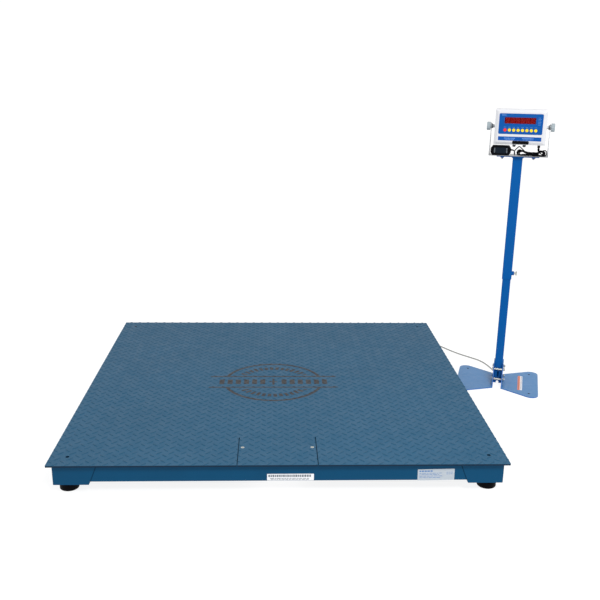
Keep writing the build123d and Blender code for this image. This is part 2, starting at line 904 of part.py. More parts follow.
def power_jack():
    """Low-voltage socket under the housing."""
    with BuildPart() as jack:
        with BuildSketch(Plane.XY.offset(box_low)):
            with Locations((jack_x, jack_y)):
                Circle(8)
        extrude(amount=jack_low - box_low)
        with BuildSketch(Plane.XY.offset(box_low)):
            with Locations((jack_x, jack_y)):
                Circle(5.9)
        extrude(amount=11)
        with Locations(Plane((jack_x, jack_y, jack_low), z_dir=(0, 0, -1))):
            Hole(2.9, depth=11)
    return jack.part


# ---- tilt clamps --------------------------------------------------------------

def clamp_knob(side):
    """Round ribbed knob with its M8 stud into the housing side."""
    disc_in = 121.0
    disc_out = 135.5
    disc_r = 17.0
    hub = Plane((side * (yoke_wide / 2 + 0.4), 0, tilt_z), z_dir=(side, 0, 0))
    with BuildPart() as knob:
        with BuildSketch(Plane((side * disc_in, 0, tilt_z), z_dir=(side, 0, 0))):
            Circle(disc_r)
            with PolarLocations(disc_r + 1.6, 10):
                Circle(3, mode=Mode.SUBTRACT)
        extrude(amount=disc_out - disc_in)
        chamfer(knob.faces().sort_by(Axis.X)[-1 if side > 0 else 0].edges(), 1)
        with BuildSketch(hub):
            Circle(10)
        extrude(amount=disc_in - yoke_wide / 2 + 1)
        with BuildSketch(hub):
            Circle(m8_r)
        extrude(amount=-20)
    return knob.part


def tilt_spacers():
    """Two cone spacers between the yoke arms and the housing."""
    inner = yoke_wide / 2 - yoke_sheet
    outer = box_wide / 2 + 0.4
    with BuildPart() as spacers:
        for side in (-1, 1):
            with BuildSketch(Plane.XY.offset(tilt_z)):
                with BuildLine():
                    Polyline(
                        (side * inner, m8_hole_r),
                        (side * inner, 11),
                        (side * 108, 6),
                        (side * outer, 6),
                        (side * outer, m8_hole_r),
                        close=True,
                    )
                make_face()
            revolve(axis=Axis((0, 0, tilt_z), (1, 0, 0)))
    return spacers.part


# ---- power adapter and its cord -----------------------------------------------

adapter_x = -71.0
adapter_wide = 82.0
adapter_tall = 40.0
adapter_deep = 30.0
adapter_front = -42.0
adapter_low = plate_top + yoke_sheet
adapter_mid_z = adapter_low + adapter_tall / 2
relief_z = adapter_low + 22


def power_adapter():
    """Plug-in adapter lying on the yoke base, with a bend relief at its end."""
    half = adapter_wide / 2
    corner_run = 8.0
    corner_rise = 12.0
    relief = Plane((adapter_x + half - 0.5, -22, relief_z), z_dir=(1, 0, 0))
    with BuildPart() as adapter:
        with BuildSketch(Plane.XZ.offset(-adapter_front)):
            with BuildLine():
                Polyline(
                    (adapter_x - half, adapter_low + corner_rise),
                    (adapter_x - half + corner_run, adapter_low),
                    (adapter_x + half - corner_run, adapter_low),
                    (adapter_x + half, adapter_low + corner_rise),
                    (adapter_x + half, adapter_low + adapter_tall - corner_rise),
                    (adapter_x + half - corner_run, adapter_low + adapter_tall),
                    (adapter_x - half + corner_run, adapter_low + adapter_tall),
                    (adapter_x - half, adapter_low + adapter_tall - corner_rise),
                    close=True,
                )
            outline = make_face()
            fillet(outline.vertices(), 4)
        extrude(amount=-adapter_deep)
        fillet(adapter.faces().filter_by(Axis.Y).edges(), 2)
        with BuildSketch(Plane.XZ.offset(-adapter_front)):
            with Locations((adapter_x, adapter_mid_z)):
                RectangleRounded(60, 24, 2)
        extrude(amount=-0.6, mode=Mode.SUBTRACT)
        with BuildSketch(relief):
            Circle(4)
        with BuildSketch(relief.offset(5.5)):
            Circle(2.6)
        loft()
    return adapter.part


def adapter_blades():
    """Two flat mains blades behind the adapter."""
    with BuildPart() as blades:
        with Locations((-88, -4, adapter_mid_z)):
            with GridLocations(12.7, 1, 2, 1):
                Box(1.5, 16, 6.3)
    return blades.part


plug_low = 1040.0
hank_back = -17.0
hank_deep = 24.0
hank_tall = 23.0


def power_plug():
    """Barrel plug pushed up into the jack, with a short bend relief."""
    with BuildPart() as plug:
        for low, radius, high in (
            (plug_low, 3.2, plug_low + 4),
            (plug_low + 4, 5.5, jack_low),
            (jack_low, 2.8, box_low + 6),
        ):
            with BuildSketch(Plane.XY.offset(low)):
                with Locations((jack_x, jack_y)):
                    Circle(radius)
            extrude(amount=high - low)
    return plug.part


def bend_radii(points):
    """Largest tangent arc at each corner: 0.45 of the shorter run."""
    corners = [Vector(*point) for point in points]
    radii = []
    for before, here, after in zip(corners, corners[1:], corners[2:]):
        run_in = here - before
        run_out = after - here
        half_turn = math.radians(run_in.get_angle(run_out)) / 2
        shorter = min(run_in.length, run_out.length)
        radii.append(0.45 * shorter / math.tan(half_turn))
    return radii


def cord_tube(points, radius):
    """Round cord along straight runs joined by tangent arcs."""
    radii = bend_radii(points)
    with BuildPart() as tube:
        with BuildLine() as route:
            FilletPolyline(*points, radius=radii)
        wire = route.wires()[0]
        with BuildSketch(Plane(origin=wire @ 0, z_dir=wire % 0)):
            Circle(radius)
        sweep(path=wire)
    made = tube.part.volume / (math.pi * radius**2 * wire.length)
    print("cord", round(wire.length), "mm, volume ratio", round(made, 3))
    print("radii", [round(value) for value in radii])
    return tube.part


# signal cable: from the gland round the platform's rear corner, over the floor
signal_route = [
    (gland_x, frame_half + gland_out, gland_z),
    (gland_x, 796, 58),
    (565, 826, 44),
    (580, 853, 23),
    (606, 872, 8),
    (644, 881, 3.3),
    (690, 875, 3.2),
    (735, 850, 3.3),
    (773, 809, 3.2),
    (806, 758, 3.3),
    (834, 707, 3.2),
    (864, 654, 3.3),
    (894, 607, 3.2),
    (936, 557, 3.3),
    (978, 511, 3.2),
    (998, 461, 3.3),
    (1008, 407, 3.2),
    (1015, 352, 3.3),
    (1016, 304, 3.9),
    (1003.4, 263.5, cable_in_z),
]

# adapter cord: out of the adapter, down and up in a peak, into the bundle
adapter_route = [
    (-25, -22, relief_z),
    (-17, -21, 1034),
    (-14, -20, 1027),
    (-14, -21.5, 1019.5),
    (-14.5, -28.5, 1016.8),
    (-15.3, -35.5, 1019.5),
    (-16, -37, 1027),
    (-14, -35.5, 1036.5),
    (-8, -33, 1045),
    (1, -31.5, 1051),
    (11, -33, 1046.5),
    (19, -35, 1039.5),
    (27, -36.5, 1032),
]

# from the bundle's back up to the plug
plug_route = [
    (98, -18.8, 1017.2),
    (106, -15.5, 1016.6),
    (109, -6, 1016.2),
    (108, 4, 1016.2),
    (102.5, 12.5, 1016.4),
    (93, 18, 1019),
    (84, 20, 1024.5),
    (jack_x, jack_y, 1032),
    (jack_x, jack_y, plug_low - 1.5),
]


def power_cord():
    """The two loose stretches of the adapter's cord."""
    with BuildPart() as cord:
        add(cord_tube(adapter_route, cord_r))
        add(cord_tube(plug_route, cord_r))
    return cord.part


def cord_hank():
    """Outer shape of the tied bundle of cord lying on the yoke base."""
    with BuildPart() as hank:
        with BuildSketch(Plane.XZ.offset(hank_deep - hank_back)):
            with Locations((54, adapter_low + 0.2 + hank_tall / 2)):
                SlotOverall(118, hank_tall)
        extrude(amount=-hank_deep)
        fillet(hank.edges().group_by(Axis.Y)[0], 6)
        fillet(hank.edges().group_by(Axis.Y)[-1], 6)
    return hank.part


# ---- write every piece --------------------------------------------------------

def write_platform():
    """All pieces of the platform."""
    blank = perimeter_channel()
    keep(deck_plate(), "deck_plate", on_platform)
    keep(access_cover(), "access_cover", on_platform)
    keep(cover_screws(), "cover_screws", on_platform)
    keep(blank, "front_channel", on_platform)
    keep(rear_channel(blank), "rear_channel", on_platform)
    keep(side_channels(blank), "side_channels", on_platform)
    keep(underdeck_framing(), "underdeck_framing", on_platform)
    keep(corner_pockets(), "corner_pockets", on_platform)
    keep(load_cells(), "load_cells", on_platform)
    keep(load_cell_bolts(), "load_cell_bolts", on_platform)
    keep(junction_box(), "junction_box", on_platform)
    keep(junction_box_lid(), "junction_box_lid", on_platform)
    keep(junction_box_screws(), "junction_box_screws", on_platform)
    keep(junction_board(), "junction_board", on_platform)
    keep(junction_box_glands(), "junction_box_glands", on_platform)
    keep(platform_gland(), "platform_gland", on_platform)
    keep(cord_tube(signal_route, cable_r), "signal_cable", on_platform)


def write_feet():
    """Four feet, each a rubber pad and its stem."""
    corners = {
        "front_left": (-foot_x, -foot_y),
        "front_right": (foot_x, -foot_y),
        "rear_left": (-foot_x, foot_y),
        "rear_right": (foot_x, foot_y),
    }
    for name, (x, y) in corners.items():
        seat = on_platform * Location((x, y, 0))
        keep(foot_stem(), f"foot_stem_{name}", seat)
        keep(foot_pad(), f"foot_pad_{name}", seat)


def write_stand():
    """The stand's base, posts and yoke."""
    keep(wing(-1), "base_wing_left", on_stand)
    keep(wing(1), "base_wing_right", on_stand)
    keep(lower_post(), "lower_post", on_stand)
    keep(base_bolts(), "base_bolts", on_stand)
    keep(cable_grommet(), "cable_grommet", on_stand)
    keep(upper_post(), "upper_post", on_stand)
    keep(clamp_screw(), "clamp_screw", on_stand)
    keep(yoke(), "yoke", on_stand)
    keep(yoke_bolts(), "yoke_bolts", on_stand)
    keep(tilt_spacers(), "tilt_spacers", on_stand)


def write_indicator():
    """The indicator, its knobs, its keys and its adapter."""
    keep(indicator_housing(), "indicator_housing", on_stand)
    keep(rear_cover(), "rear_cover", on_stand)
    keep(rear_cover_screws(), "rear_cover_screws", on_stand)
    keep(key_overlay(), "key_overlay", on_stand)
    keep(display_window(), "display_window", on_stand)
    keep(display_board(), "display_board", on_stand)
    keep(main_board(), "main_board", on_stand)
    keep(battery(), "battery", on_stand)
    keep(indicator_glands(), "indicator_glands", on_stand)
    keep(power_jack(), "power_jack", on_stand)
    keep(clamp_knob(-1), "knob_left", on_stand)
    keep(clamp_knob(1), "knob_right", on_stand)
    for number in range(8):
        keep(key_button(number), f"key_{number + 1}", on_stand)
    keep(power_adapter(), "power_adapter", on_stand)
    keep(adapter_blades(), "adapter_blades", on_stand)
    keep(power_plug(), "power_plug", on_stand)
    keep(power_cord(), "power_cord", on_stand)
    keep(cord_hank(), "cord_hank", on_stand)


write_platform()
write_feet()
write_stand()
write_indicator()
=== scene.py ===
import json
import math
import random

import bmesh
import bpy
from mathutils import Matrix, Vector


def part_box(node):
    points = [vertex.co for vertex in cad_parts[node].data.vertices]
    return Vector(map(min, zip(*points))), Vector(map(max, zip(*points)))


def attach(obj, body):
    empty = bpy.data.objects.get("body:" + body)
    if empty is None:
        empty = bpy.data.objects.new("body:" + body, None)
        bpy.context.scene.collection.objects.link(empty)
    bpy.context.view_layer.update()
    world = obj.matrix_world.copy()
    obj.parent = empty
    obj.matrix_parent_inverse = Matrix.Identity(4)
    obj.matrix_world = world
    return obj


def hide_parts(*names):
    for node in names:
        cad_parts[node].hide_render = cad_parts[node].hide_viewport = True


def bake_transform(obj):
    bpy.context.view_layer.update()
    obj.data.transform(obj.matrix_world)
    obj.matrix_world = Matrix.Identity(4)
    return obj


# Looks for a floor scale: a tread-plate platform on four feet, and a telescopic
# stand with a weight indicator, joined by one signal cable.
# Lengths are in metres; on_deck() and on_stand() take millimetres.

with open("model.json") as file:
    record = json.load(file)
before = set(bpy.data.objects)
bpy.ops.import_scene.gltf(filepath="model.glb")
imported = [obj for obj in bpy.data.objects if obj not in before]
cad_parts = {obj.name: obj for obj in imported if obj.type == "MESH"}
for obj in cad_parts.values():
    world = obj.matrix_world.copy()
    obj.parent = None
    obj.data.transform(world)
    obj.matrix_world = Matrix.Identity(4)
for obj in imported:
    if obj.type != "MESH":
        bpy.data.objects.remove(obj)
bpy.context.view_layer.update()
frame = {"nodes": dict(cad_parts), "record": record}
nodes = frame["nodes"]
random.seed(7)

# ---- the two local frames ------------------------------------------------------

deck_low, deck_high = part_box("deck_plate")
deck_mid = (deck_low + deck_high) / 2
post_low, post_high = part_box("lower_post")
post_mid = (post_low + post_high) / 2
TURN = math.radians(17.3)
RIGHT = Vector((math.cos(TURN), -math.sin(TURN), 0))
BACK = Vector((math.sin(TURN), math.cos(TURN), 0))
UP = Vector((0, 0, 1))
MM = 0.001


def on_deck(x, y, z):
    """A point given from the middle of the deck's outline, z from the floor."""
    return Vector((deck_mid.x + x * MM, deck_mid.y + y * MM, z * MM))


def on_stand(x, y, z):
    """A point given from the post's axis, x to its right, y to its back."""
    return Vector((post_mid.x, post_mid.y, 0)) + (RIGHT * x + BACK * y + UP * z) * MM


# ---- camera --------------------------------------------------------------------

YAW, PITCH, ROLL = math.radians(2.132), math.radians(17.421), math.radians(0.743)
EYE = Vector((-0.25097, -3.11182, 1.35269))
forward = Vector(
    (math.sin(YAW) * math.cos(PITCH), math.cos(YAW) * math.cos(PITCH), -math.sin(PITCH))
)
level = Vector((math.cos(YAW), -math.sin(YAW), 0))
above = level.cross(forward)
cam_right = math.cos(ROLL) * level + math.sin(ROLL) * above
cam_up = -math.sin(ROLL) * level + math.cos(ROLL) * above
lens = bpy.data.cameras.new("camera")
lens.lens = 48.0
lens.sensor_width = 36.0
lens.shift_y = 0.0302
lens.clip_end = 200
camera = bpy.data.objects.new("camera", lens)
bpy.context.scene.collection.objects.link(camera)
camera.matrix_world = Matrix(
    (
        (cam_right.x, cam_up.x, -forward.x, EYE.x),
        (cam_right.y, cam_up.y, -forward.y, EYE.y),
        (cam_right.z, cam_up.z, -forward.z, EYE.z),
        (0, 0, 0, 1),
    )
)
bpy.context.scene.camera = camera


# ---- materials -----------------------------------------------------------------


def tone(red, green, blue):
    """A display colour from 0 to 255 as linear values."""
    values = [c / 255 for c in (red, green, blue)]
    return tuple(
        c / 12.92 if c <= 0.04045 else ((c + 0.055) / 1.055) ** 2.4 for c in values
    )


class Graph:
    """A node material with one Principled shader and short calls to wire it."""

    def __init__(self, name):
        self.material = bpy.data.materials.new(name)
        self.material.use_nodes = True
        self.tree = self.material.node_tree
        self.shader = self.tree.nodes["Principled BSDF"]
        self.place = self.add("ShaderNodeTexCoord").outputs["Object"]

    def add(self, kind, **settings):
        node = self.tree.nodes.new(kind)
        for key, value in settings.items():
            setattr(node, key, value)
        return node

    def link(self, source, target):
        self.tree.links.new(source, target)

    def calc(self, operation, *values):
        """Result of a maths node. Each value is a number or a socket."""
        node = self.add("ShaderNodeMath", operation=operation)
        for socket, value in zip(node.inputs, values):
            if isinstance(value, (int, float)):
                socket.default_value = value
            else:
                self.link(value, socket)
        return node.outputs[0]

    def noise(self, scale, detail, stretch=None):
        node = self.add("ShaderNodeTexNoise")
        node.inputs["Scale"].default_value = scale
        node.inputs["Detail"].default_value = detail
        source = self.place
        if stretch:
            mapping = self.add("ShaderNodeMapping")
            mapping.inputs["Scale"].default_value = stretch
            self.link(self.place, mapping.inputs["Vector"])
            source = mapping.outputs[0]
        self.link(source, node.inputs["Vector"])
        return node.outputs["Fac"]

    def spread(self, value, low, high, start=0.3, end=0.7):
        """The value, from start to end, taken to low to high and held there."""
        node = self.add("ShaderNodeMapRange")
        self.link(value, node.inputs["Value"])
        for key, number in (
            ("From Min", start),
            ("From Max", end),
            ("To Min", low),
            ("To Max", high),
        ):
            node.inputs[key].default_value = number
        return node.outputs["Result"]

    def blend(self, factor, first, second):
        """Colour between two colours or colour sockets."""
        node = self.add("ShaderNodeMix", data_type="RGBA")
        self.link(factor, node.inputs["Factor"])
        for key, value in ((6, first), (7, second)):
            if isinstance(value, tuple):
                node.inputs[key].default_value = (*value, 1)
            else:
                self.link(value, node.inputs[key])
        return node.outputs[2]

    def split(self, vector):
        """The x, y and z of a vector socket."""
        node = self.add("ShaderNodeSeparateXYZ")
        self.link(vector, node.inputs[0])
        return node.outputs

    def distance(self, point):
        """Distance of the shaded place from a point."""
        node = self.add("ShaderNodeVectorMath", operation="DISTANCE")
        self.link(self.place, node.inputs[0])
        node.inputs[1].default_value = point
        return node.outputs["Value"]

    def paint(self, factor, colour):
        """Lay a colour over the base colour where the factor is 1."""
        self.colour = self.blend(factor, self.colour, colour)
        self.link(self.colour, self.shader.inputs["Base Color"])


def finish(
    name, colour, rough, mottle, patch, grain, bump, metal=0.0, specular=0.5, stretch=None
):
    """A finish with slow colour variation, varying gloss and a fine grain."""
    g = Graph(name)
    slow = g.noise(patch, 5, stretch)
    darker = tuple(c * (1 - mottle) for c in colour)
    lighter = tuple(min(1, c * (1 + mottle)) for c in colour)
    g.colour = g.blend(g.spread(slow, 0, 1), darker, lighter)
    g.link(g.colour, g.shader.inputs["Base Color"])
    g.link(g.spread(g.noise(patch * 6, 3, stretch), *rough), g.shader.inputs["Roughness"])
    relief = g.add("ShaderNodeBump")
    relief.inputs["Strength"].default_value = bump
    relief.inputs["Distance"].default_value = 0.0004
    g.link(g.noise(grain, 2, stretch), relief.inputs["Height"])
    g.link(relief.outputs[0], g.shader.inputs["Normal"])
    g.shader.inputs["Metallic"].default_value = metal
    g.shader.inputs["Specular IOR Level"].default_value = specular
    return g


LUG_SHADE_BLUE, EDGE_SHADE_BLUE, POST_BLUE = tone(33, 79, 107), tone(4, 34, 56), tone(0, 82, 152)
ZINC = (tone(196, 196, 188), (0.28, 0.45), 0.1, 90, 2600, 0.2)
BRUSHED = (1, 1, 14)

# the mark on the deck, in metres: its middle from the deck's middle, the middle of its
# band from its own, then each shape's size from there
MARK_X, MARK_Y, BAND_Y = -0.021, -0.034, -0.004
RING_RADIUS, RING_HALF, RING_FROM = 0.198, 0.0066, 0.062
BAR_END, BAR_LOW, BAR_HIGH = 0.262, 0.0535, 0.0635
DASH_RADIUS, DASH_HALF, DASH_FROM, DASH_COUNT = 0.146, 0.015, 0.078, 40
BLOCK_START, BLOCK_END, BLOCK_PITCH, BLOCK_HALF = 0.028, 0.228, 0.0335, 0.025
CROSS_HALF, CROSS_WIDE, CROSS_TALL = 0.0045, 0.0165, 0.032
PAINTED_SHARE = 0.62


def centre_mark(g):
    """Burnt-in load centring mark: a ring, two bars, dashes, blocks and a cross."""
    axes = g.split(g.place)
    x = g.calc("SUBTRACT", axes[0], deck_mid.x + MARK_X)
    y = g.calc("SUBTRACT", axes[1], deck_mid.y + MARK_Y)
    radius = g.calc("SQRT", g.calc("ADD", g.calc("MULTIPLY", x, x), g.calc("MULTIPLY", y, y)))
    angle = g.calc("ARCTAN2", y, x)
    wide = g.calc("ABSOLUTE", x)
    tall = g.calc("ABSOLUTE", g.calc("SUBTRACT", y, BAND_Y))

    def over(value, limit):
        return g.calc("GREATER_THAN", value, limit)

    def under(value, limit):
        return g.calc("LESS_THAN", value, limit)

    def both(first, second):
        return g.calc("MULTIPLY", first, second)

    def between(value, low, high):
        return both(over(value, low), under(value, high))

    def ring(size, half):
        return under(g.calc("ABSOLUTE", g.calc("SUBTRACT", radius, size)), half)

    def dashes(value, pitch):
        return under(g.calc("FRACT", g.calc("DIVIDE", value, pitch)), PAINTED_SHARE)

    round_dashes = both(ring(DASH_RADIUS, DASH_HALF), dashes(angle, 2 * math.pi / DASH_COUNT))
    blocks = both(between(wide, BLOCK_START, BLOCK_END), dashes(wide, BLOCK_PITCH))
    mask = both(ring(RING_RADIUS, RING_HALF), over(tall, RING_FROM))
    for shape in (
        both(under(wide, BAR_END), between(tall, BAR_LOW, BAR_HIGH)),
        both(round_dashes, over(tall, DASH_FROM)),
        both(blocks, under(tall, BLOCK_HALF)),
        both(under(wide, CROSS_HALF), under(tall, CROSS_TALL)),
        both(under(tall, CROSS_HALF), under(wide, CROSS_WIDE)),
    ):
        mask = g.calc("MAXIMUM", mask, shape)
    worn = g.spread(g.noise(260, 3), 0.6, 1.0, 0.35, 0.6)
    top = over(axes[2], deck_high.z - 0.0005)
    # painted shade: the raised lugs are darker than the flat plate, for their slopes catching
    # less of the bright surroundings
    height = g.spread(axes[2], 0, 1, deck_high.z - 0.0002, deck_high.z + 0.0012)
    g.paint(height, LUG_SHADE_BLUE)
    g.paint(both(both(mask, worn), top), tone(58, 48, 38))
    # painted shade: the deck plate's edge and underside in dark navy, darker than the frame
    # facing the same way, for the shade under the overhang
    g.paint(under(axes[2], deck_high.z - 0.0008), EDGE_SHADE_BLUE)


deck_blue = finish(
    "deck_enamel", tone(38, 86, 116), (0.45, 0.6), 0.05, 4, 1400, 0.3, specular=0.18
)
centre_mark(deck_blue)

LOOKS = {
    "deck_paint": deck_blue,
    "frame_paint": finish(
        "frame_enamel", tone(0, 66, 101), (0.38, 0.52), 0.05, 7, 1500, 0.2, specular=0.12
    ),
    "post_paint": finish(
        "post_enamel", POST_BLUE, (0.3, 0.4), 0.03, 9, 1700, 0.08, specular=0.08
    ),
    "wing_paint": finish(
        "wing_enamel", tone(55, 117, 170), (0.3, 0.42), 0.04, 9, 1600, 0.15, specular=0.4
    ),
    "zinc": finish("zinc_plate", *ZINC, metal=1.0),
    "stainless": finish(
        "brushed_stainless",
        tone(210, 211, 215),
        (0.3, 0.4),
        0.02,
        30,
        700,
        0.1,
        metal=0.12,
        stretch=BRUSHED,
    ),
    "cell_steel": finish(
        "nickel_plate", tone(190, 192, 194), (0.3, 0.42), 0.06, 60, 2200, 0.12, metal=1.0
    ),
    "rubber_black": finish(
        "foot_rubber", tone(4, 4, 8), (0.4, 0.55), 0.18, 60, 1900, 0.4, specular=0.05
    ),
    "plastic_black": finish(
        "black_plastic", tone(5, 6, 9), (0.35, 0.5), 0.15, 80, 2400, 0.3, specular=0.05
    ),
    "plastic_grey": finish(
        "grey_plastic", tone(120, 122, 124), (0.4, 0.5), 0.08, 80, 2400, 0.25
    ),
    "cable_grey": finish(
        "cable_sheath", tone(156, 156, 152), (0.42, 0.55), 0.05, 70, 2600, 0.2
    ),
    "knob_grey": finish(
        "knob_plastic", tone(152, 164, 170), (0.3, 0.42), 0.08, 90, 2600, 0.25
    ),
    "spacer": finish("cone_plastic", tone(92, 100, 106), (0.45, 0.6), 0.1, 90, 2600, 0.3),
    "board_green": finish(
        "circuit_board", tone(26, 96, 62), (0.35, 0.45), 0.15, 160, 1200, 0.2
    ),
    "panel_blue": finish(
        "panel_film", tone(4, 78, 152), (0.28, 0.38), 0.03, 40, 3200, 0.12, specular=0.12
    ),
    "key_red": finish(
        "red_key", tone(236, 34, 32), (0.3, 0.4), 0.05, 120, 3200, 0.15, specular=0.4
    ),
    "key_yellow": finish(
        "yellow_key", tone(238, 208, 28), (0.3, 0.4), 0.05, 120, 3200, 0.15, specular=0.4
    ),
    "filter_red": finish(
        "red_filter", tone(120, 4, 8), (0.08, 0.14), 0.04, 40, 3000, 0.03, specular=0.08
    ),
    "battery_grey": finish(
        "battery_case", tone(70, 72, 78), (0.5, 0.6), 0.08, 60, 2000, 0.3
    ),
    "nickel": finish(
        "bright_nickel", tone(205, 202, 192), (0.12, 0.25), 0.05, 120, 2600, 0.05, metal=1.0
    ),
}
LOOKS["filter_red"].shader.inputs["Alpha"].default_value = 0.4

# painted light on the wings: the flanges and edges get a more saturated blue as a painted rim
# highlight, the flat tops keep the paler enamel; painted shade in the anchor bores
ANCHOR_X, ANCHOR_Y, ANCHOR_Z, BORE_REACH = 139.0, 118.0, 2.0, 0.0052
wing_look = LOOKS["wing_paint"]
facing = wing_look.split(wing_look.add("ShaderNodeNewGeometry").outputs["Normal"])
# painted highlight: faces that don't face up, the flanges and edges, in a more saturated blue
wing_look.paint(wing_look.calc("LESS_THAN", facing[2], 0.6), tone(8, 92, 168))
# painted shade: the wall and rim of each anchor bore darkened within BORE_REACH of its middle
for side in (-1, 1):
    for end in (-1, 1):
        apart = wing_look.distance(on_stand(side * ANCHOR_X, end * ANCHOR_Y, ANCHOR_Z))
        wing_look.paint(wing_look.calc("LESS_THAN", apart, BORE_REACH), tone(22, 26, 34))

# the spacer cones are pale towards the housing and dark grey towards the yoke
CONE_X, TILT_HEIGHT, PALE_REACH, DARK_REACH = 103.4, 1129.0, 0.008, 0.012
cone_look = LOOKS["spacer"]
for side in (-1, 1):
    apart = cone_look.distance(on_stand(side * CONE_X, 0, TILT_HEIGHT))
    pale_share = cone_look.spread(apart, 1, 0, PALE_REACH, DARK_REACH)
    cone_look.paint(pale_share, tone(206, 210, 214))

for part in frame["record"]["subparts"]:
    item = nodes[part["node"]]
    item.data.materials.clear()
    item.data.materials.append(LOOKS[part["material_slot"]].material)

yoke_look = finish(
    "yoke_stainless",
    tone(152, 154, 158),
    (0.28, 0.4),
    0.04,
    30,
    700,
    0.1,
    metal=0.9,
    stretch=BRUSHED,
)
nodes["yoke"].data.materials[0] = yoke_look.material

# the nuts under the yoke are painted with the post, their screws' ends are bare
BARE_END = 0.0035
bolt_look = finish("painted_nuts", *ZINC, metal=1.0)
bolt_height = bolt_look.split(bolt_look.place)[2]
painted = bolt_look.calc(
    "MULTIPLY",
    bolt_look.calc("GREATER_THAN", bolt_height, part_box("yoke_bolts")[0].z + BARE_END),
    bolt_look.calc("LESS_THAN", bolt_height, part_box("upper_post")[1].z),
)
bolt_look.paint(painted, POST_BLUE)
bolt_look.link(
    bolt_look.calc("SUBTRACT", 1.0, painted), bolt_look.shader.inputs["Metallic"]
)
nodes["yoke_bolts"].data.materials[0] = bolt_look.material

EXTRA = {
    "label_white": finish(
        "label_film", tone(228, 230, 234), (0.35, 0.45), 0.03, 60, 2400, 0.1
    ),
    "plate_grey": finish(
        "label_foil", tone(172, 181, 190), (0.3, 0.4), 0.04, 60, 2400, 0.1
    ),
    "ink_blue": finish("blue_ink", tone(60, 110, 170), (0.5, 0.6), 0.1, 400, 3000, 0.1),
    "ink_grey": finish("grey_ink", tone(96, 104, 112), (0.5, 0.6), 0.1, 400, 3000, 0.1),
    "ink_pale": finish("pale_ink", tone(96, 142, 206), (0.5, 0.6), 0.06, 400, 3000, 0.1),
    "orange": finish("orange_film", tone(226, 108, 50), (0.35, 0.45), 0.06, 60, 2400, 0.1),
    "strip_blue": finish(
        "strip_film", tone(10, 78, 156), (0.3, 0.4), 0.05, 60, 3000, 0.1, specular=0.12
    ),
    "seam_dark": finish(
        "seam_shade", tone(6, 44, 68), (0.6, 0.7), 0.1, 60, 1500, 0.1, specular=0.05
    ),
    "badge_black": finish(
        "badge_film", tone(4, 4, 8), (0.3, 0.42), 0.2, 60, 3000, 0.1, specular=0.08
    ),
    "module_face": finish("module_face", tone(184, 6, 12), (0.5, 0.6), 0.1, 200, 3000, 0.1),
    "segment": finish("segment_resin", tone(196, 34, 40), (0.4, 0.5), 0.06, 300, 3000, 0.1),
    "adapter_label": finish(
        "adapter_label", tone(16, 26, 36), (0.35, 0.5), 0.12, 120, 3000, 0.15, specular=0.08
    ),
}


# ---- building helpers ----------------------------------------------------------


def piece(name, mesh, body, look, smooth=False):
    """Put a finished mesh in the scene, on a body, with its look."""
    item = bpy.data.objects.new(name, mesh)
    bpy.context.scene.collection.objects.link(item)
    mesh.materials.append(look.material)
    for face in mesh.polygons:
        face.use_smooth = smooth
    if body:
        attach(item, body)
    return item


def from_bmesh(name, bm):
    """A mesh with its faces turned outwards; the bmesh is used up."""
    bmesh.ops.recalc_face_normals(bm, faces=bm.faces)
    mesh = bpy.data.meshes.new(name)
    bm.to_mesh(mesh)
    bm.free()
    return mesh


def rounded(width, height, radius, steps=5):
    """Outline of a rounded rectangle about the origin, in millimetres."""
    if radius <= 0:
        half_w, half_h = width / 2, height / 2
        return [(-half_w, -half_h), (half_w, -half_h), (half_w, half_h), (-half_w, half_h)]
    points = []
    for quarter, (sx, sy) in enumerate(((1, -1), (1, 1), (-1, 1), (-1, -1))):
        for step in range(steps + 1):
            angle = math.pi / 2 * (quarter - 1 + step / steps)
            points.append(
                (
                    sx * (width / 2 - radius) + radius * math.cos(angle),
                    sy * (height / 2 - radius) + radius * math.sin(angle),
                )
            )
    return points


def close_rings(bm, rings):
    """Faces between rings of equally many points, and one over each end."""
    for lower, upper in zip(rings, rings[1:]):
        for i in range(len(lower)):
            j = (i + 1) % len(lower)
            bm.faces.new((lower[i], lower[j], upper[j], upper[i]))
    bm.faces.new(rings[-1])
    bm.faces.new(list(reversed(rings[0])))


def slab(bm, outline, place, thick):
    """Add a thin solid: the outline on the surface, and again thick above it.
    place(u, v, w) gives the point at u along, v up and w proud of the surface."""
    close_rings(bm, [[bm.verts.new(place(u, v, w)) for u, v in outline] for w in (0.0, thick)])


def front_place(x, z, y, tilt=0.0):
    """Surface facing the front of the platform, its print turned by tilt."""
    c, s = math.cos(tilt), math.sin(tilt)
    return lambda u, v, w: on_deck(x + u * c - v * s, y - w, z + u * s + v * c)


def stand_front(x, z, y):
    """Surface facing the front of the stand."""
    return lambda u, v, w: on_stand(x + u, y - w, z + v)


def flat_place(x, y, z):
    """Surface of the stand that faces up."""
    return lambda u, v, w: on_stand(x + u, y + v, z + w)


def label(name, place, width, height, thick, radius, look, body):
    """A flat label with rounded corners."""
    bm = bmesh.new()
    slab(bm, rounded(width, height, radius), place, thick)
    return piece(name, from_bmesh(name, bm), body, look)


def marks(name, place, bars, thick, look, body):
    """Printed bars: each is (u, v, width, height) from the label's middle."""
    bm = bmesh.new()
    for u, v, width, height in bars:
        slab(
            bm,
            rounded(width, height, 0),
            lambda a, b, w, u=u, v=v: place(u + a, v + b, w),
            thick,
        )
    return piece(name, from_bmesh(name, bm), body, look)


def row_of_bars(left, right, v, height, least, most, gap):
    """Bars of uneven width filling a row, as plain filler for print."""
    bars, u = [], left
    while u < right - least:
        width = min(random.uniform(least, most), right - u)
        bars.append((u + width / 2, v, width, height))
        u += width + gap
    return bars


# ---- cords ---------------------------------------------------------------------


